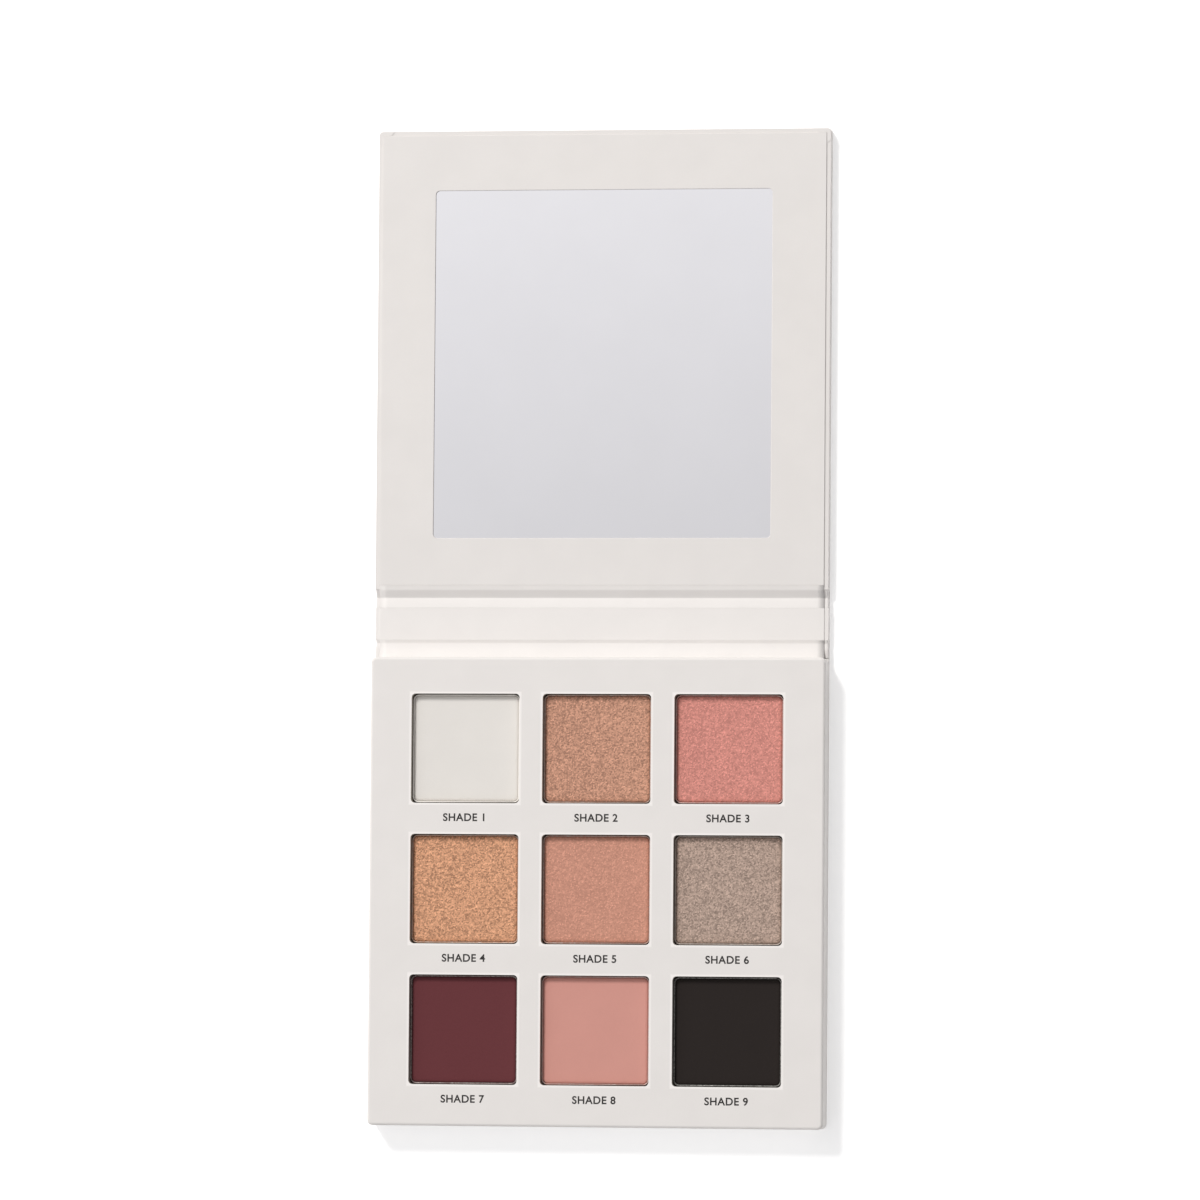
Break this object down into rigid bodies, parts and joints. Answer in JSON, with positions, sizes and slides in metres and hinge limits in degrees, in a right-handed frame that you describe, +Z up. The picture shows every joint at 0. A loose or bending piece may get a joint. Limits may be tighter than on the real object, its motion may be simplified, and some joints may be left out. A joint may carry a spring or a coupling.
{
  "type": "eyeshadow palette",
  "caption": "Square book-style card palette of pressed eyeshadow pans in a tray, with a framed mirror in the folding lid.",
  "frame": {"origin": "centre of the opened-out case, on the surface it lies on", "axes": "+Z up out of the pans and the mirror, +Y from the tray towards the lid, +X to the right"},
  "size_m": [0.114, 0.2484, 0.0084],
  "materials": {
    "covering_paper": "matt laminated, off-white",
    "greyboard": "raw",
    "adhesive": "double-sided tape",
    "tinplate": "bright tinplate",
    "magnet": "nickel plated",
    "steel": "plain",
    "mirror": "silvered glass",
    "powder_1_white": "pressed powder, satin",
    "powder_2_bronze": "pressed powder, shimmer",
    "powder_3_coral": "pressed powder, shimmer",
    "powder_4_gold": "pressed powder, shimmer",
    "powder_5_rose": "pressed powder, shimmer",
    "powder_6_taupe": "pressed powder, shimmer",
    "powder_7_plum": "pressed powder, matte",
    "powder_8_pink": "pressed powder, matte",
    "powder_9_black": "pressed powder, matte"
  },
  "bodies": {
    "base": {"base_outer_wrap": "covering_paper", "base_board": "greyboard", "tray_floor_card": "greyboard", "tray_grid_lower": "greyboard", "tray_grid_upper": "greyboard", "tray_cover": "covering_paper", "base_hinge_paper": "covering_paper", "base_magnet_left": "magnet", "base_magnet_right": "magnet", "pan_pad_1": "adhesive", "pan_1": "tinplate", "powder_1_white": "powder_1_white", "pan_pad_2": "adhesive", "pan_2": "tinplate", "powder_2_bronze": "powder_2_bronze", "pan_pad_3": "adhesive", "pan_3": "tinplate", "powder_3_coral": "powder_3_coral", "pan_pad_4": "adhesive", "pan_4": "tinplate", "powder_4_gold": "powder_4_gold", "pan_pad_5": "adhesive", "pan_5": "tinplate", "powder_5_rose": "powder_5_rose", "pan_pad_6": "adhesive", "pan_6": "tinplate", "powder_6_taupe": "powder_6_taupe", "pan_pad_7": "adhesive", "pan_7": "tinplate", "powder_7_plum": "powder_7_plum", "pan_pad_8": "adhesive", "pan_8": "tinplate", "powder_8_pink": "powder_8_pink", "pan_pad_9": "adhesive", "pan_9": "tinplate", "powder_9_black": "powder_9_black"},
    "spine": {"spine_outer_wrap": "covering_paper", "spine_board": "greyboard", "spine_liner": "covering_paper"},
    "lid": {"lid_outer_wrap": "covering_paper", "lid_board": "greyboard", "lid_frame_board": "greyboard", "lid_liner": "covering_paper", "lid_hinge_paper": "covering_paper", "lid_steel_disc_left": "steel", "lid_steel_disc_right": "steel", "mirror_tape": "adhesive", "mirror": "mirror"}
  },
  "joints": [
    {"name": "spine_fold", "type": "hinge", "parent": "base", "child": "spine", "pos_m": [0, -0.00525, 0], "axis": [1, 0, 0], "range_deg": [0, 90], "deforming": ["base_hinge_paper"]},
    {"name": "lid_fold", "type": "hinge", "parent": "spine", "child": "lid", "pos_m": [0, 0.00675, 0], "axis": [1, 0, 0], "range_deg": [0, 90], "deforming": ["lid_hinge_paper"]}
  ]
}
